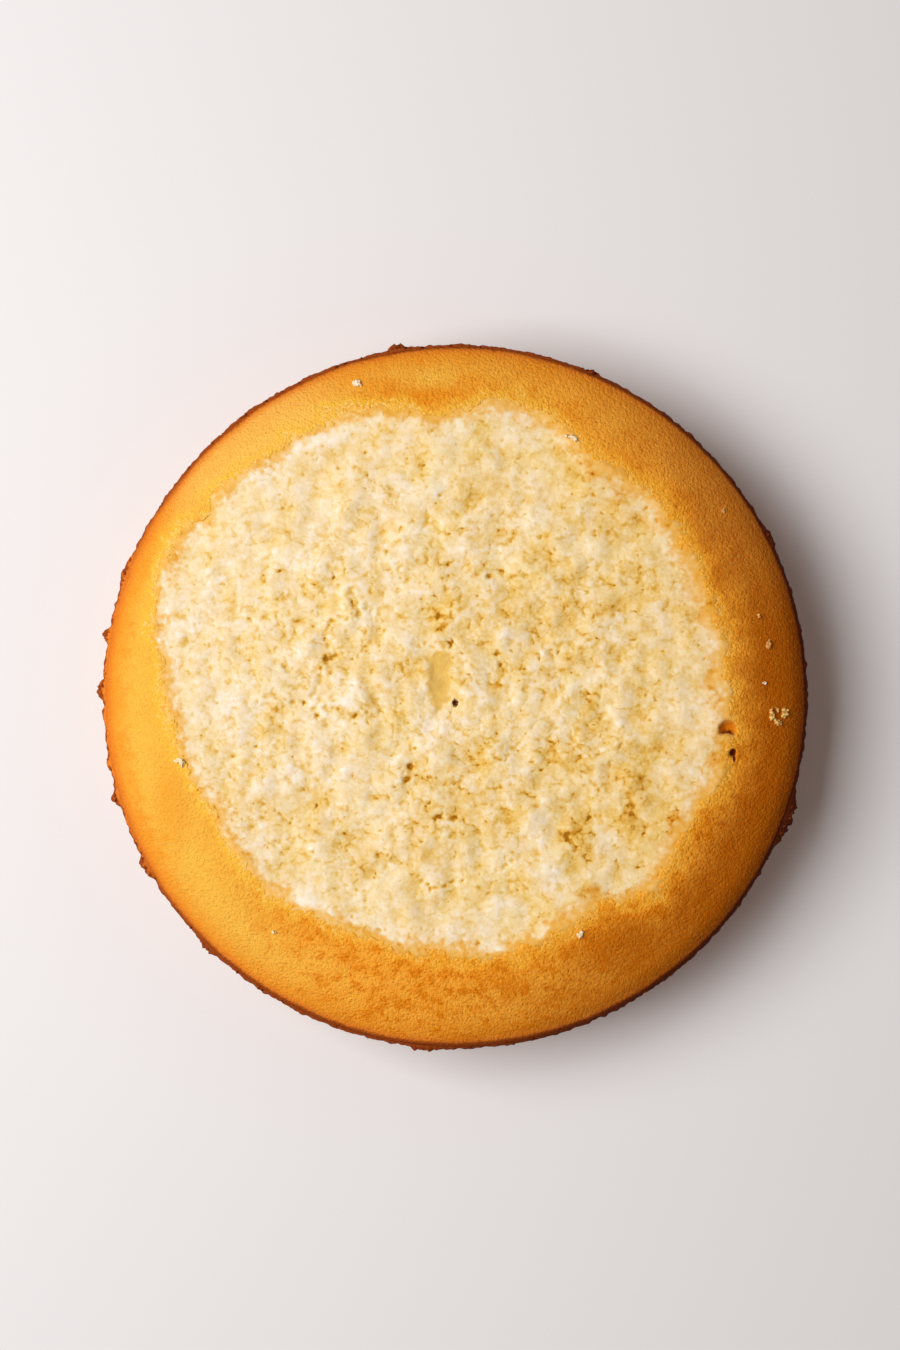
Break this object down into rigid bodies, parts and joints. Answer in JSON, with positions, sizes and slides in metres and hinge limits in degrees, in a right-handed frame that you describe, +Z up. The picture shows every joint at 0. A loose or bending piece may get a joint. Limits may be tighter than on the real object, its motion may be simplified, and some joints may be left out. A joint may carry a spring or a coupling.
{
  "type": "white cake layer",
  "caption": "Round layer of white cake with browned crust, its domed top sliced off to bare the pale crumb; food that rests on its flat base.",
  "frame": {"origin": "middle of the layer's bounding box, on the flat base that it rests on", "axes": "+Z up out of the cut face; +Y towards the top of the reference picture, +X to its right"},
  "size_m": [0.1988, 0.1978, 0.0464],
  "materials": {
    "crust": "golden brown baked crust, matt, darker on the side and at the rim",
    "crumb": "pale cream open crumb, matt"
  },
  "bodies": {
    "root": {"cake": "crust"}
  },
  "joints": []
}
